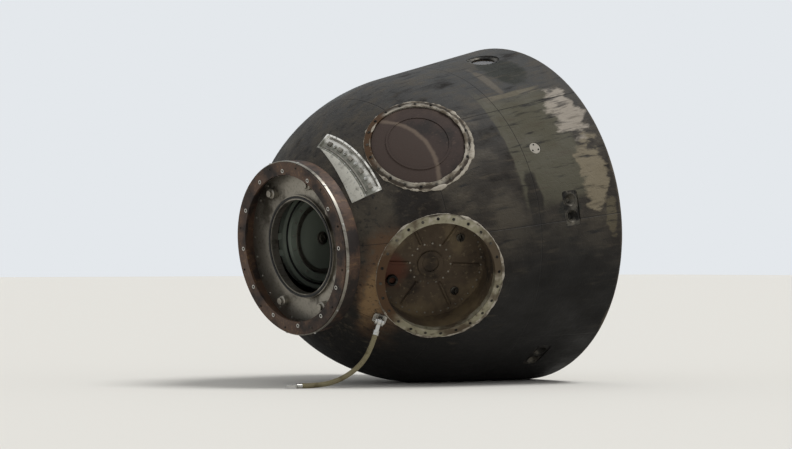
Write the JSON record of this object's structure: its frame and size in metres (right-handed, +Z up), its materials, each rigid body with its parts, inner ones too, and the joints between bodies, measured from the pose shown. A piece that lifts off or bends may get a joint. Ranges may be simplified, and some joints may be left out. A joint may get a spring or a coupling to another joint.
{
  "type": "space capsule",
  "caption": "Three-seat re-entry capsule lying on its side after landing: blunt charred cone, open hatch in the nose collar, empty parachute bay, riser strap on the ground.",
  "frame": {"origin": "on the ground under the middle of the capsule's outline, riser left out", "axes": "+Z up; the nose points to -X and slightly down, +Y across the capsule"},
  "size_m": [2.5152, 2.5134, 2.4905],
  "materials": {
    "heat_skin": "charred",
    "bay_ring_paint": "matt",
    "panel_white": "matt",
    "structure_alloy": "sooty",
    "bay_lining": "matt",
    "cabin_alloy": "satin",
    "steel": "brushed",
    "window_glass": "smoked",
    "couch_shell": "satin",
    "couch_fabric": "woven",
    "pack_fabric": "woven",
    "riser_webbing": "woven",
    "console_paint": "satin",
    "locker_paint": "satin",
    "equipment_case": "satin"
  },
  "bodies": {
    "capsule": {"side_wall": "heat_skin", "dome_wall": "heat_skin", "base_rim": "structure_alloy", "base_bulkhead": "structure_alloy", "altimeter": "panel_white", "shield_latches": "steel", "front_collar": "structure_alloy", "hatch_plate": "structure_alloy", "plate_fittings": "steel", "hatch_hinge": "steel", "light_panel": "panel_white", "panel_plugs": "steel", "main_bay_ring": "bay_ring_paint", "main_bay_canister": "bay_lining", "reserve_bay_ring": "bay_ring_paint", "reserve_bay_canister": "bay_lining", "reserve_pack": "pack_fabric", "umbilical_plate": "steel", "wall_plugs": "panel_white", "cabin_deck": "cabin_alloy", "couch_struts": "cabin_alloy", "instrument_panel": "console_paint", "equipment_block": "equipment_case", "riser_lug": "steel", "riser_clevis": "steel", "braking_motor_1": "steel", "braking_motor_2": "steel", "braking_motor_3": "steel", "braking_motor_4": "steel", "thruster_port_1": "steel", "thruster_port_2": "steel", "thruster_port_3": "steel", "thruster_port_4": "steel", "window_upper_frame": "steel", "window_upper_pane": "window_glass", "window_lower_frame": "steel", "window_lower_pane": "window_glass", "sight_port_frame": "steel", "sight_port_pane": "window_glass", "couch_left": "couch_shell", "cushions_left": "couch_fabric", "couch_middle": "couch_shell", "cushions_middle": "couch_fabric", "couch_right": "couch_shell", "cushions_right": "couch_fabric", "locker_upper": "locker_paint", "locker_lower": "locker_paint", "riser_strap": "riser_webbing", "riser_link": "steel"},
    "hatch": {"hatch_door": "cabin_alloy", "hatch_handwheel": "steel", "hatch_latches": "steel"},
    "reserve_cover": {"reserve_bay_cover": "heat_skin"}
  },
  "joints": [
    {"name": "hatch_hinge", "type": "hinge", "parent": "capsule", "child": "hatch", "pos_m": [-0.88879, 0.43, 1.00563], "axis": [-0.1271, 0, 0.9919], "range_deg": [-96, 0]},
    {"name": "reserve_cover_slide", "type": "slide", "parent": "capsule", "child": "reserve_cover", "axis": [-0.4849, -0.6725, 0.5592], "range_m": [0, 0.3]}
  ]
}
